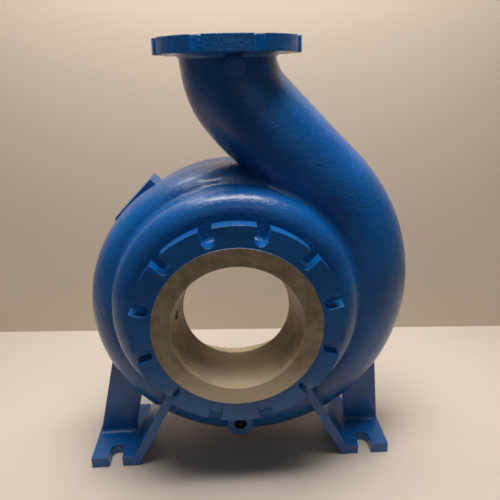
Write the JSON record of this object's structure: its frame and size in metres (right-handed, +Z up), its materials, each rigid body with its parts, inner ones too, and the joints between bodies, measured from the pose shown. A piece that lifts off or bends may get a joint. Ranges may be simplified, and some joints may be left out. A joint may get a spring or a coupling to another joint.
{
  "type": "volute pump casing",
  "caption": "Volute casing for an end-suction centrifugal pump: front suction flange, spiral passage, leaning discharge neck on top, rear cover opening and cast feet.",
  "frame": {"origin": "centre of the suction flange's raised face, on the pump axis", "axes": "+Y along the pump axis into the casing, +Z up through the discharge flange, +X to the right seen from the suction side"},
  "size_m": [0.7038, 0.3247, 0.8819],
  "materials": {
    "casing_enamel": "satin blue enamel"
  },
  "bodies": {
    "root": {"volute_casing": "casing_enamel"}
  },
  "joints": []
}
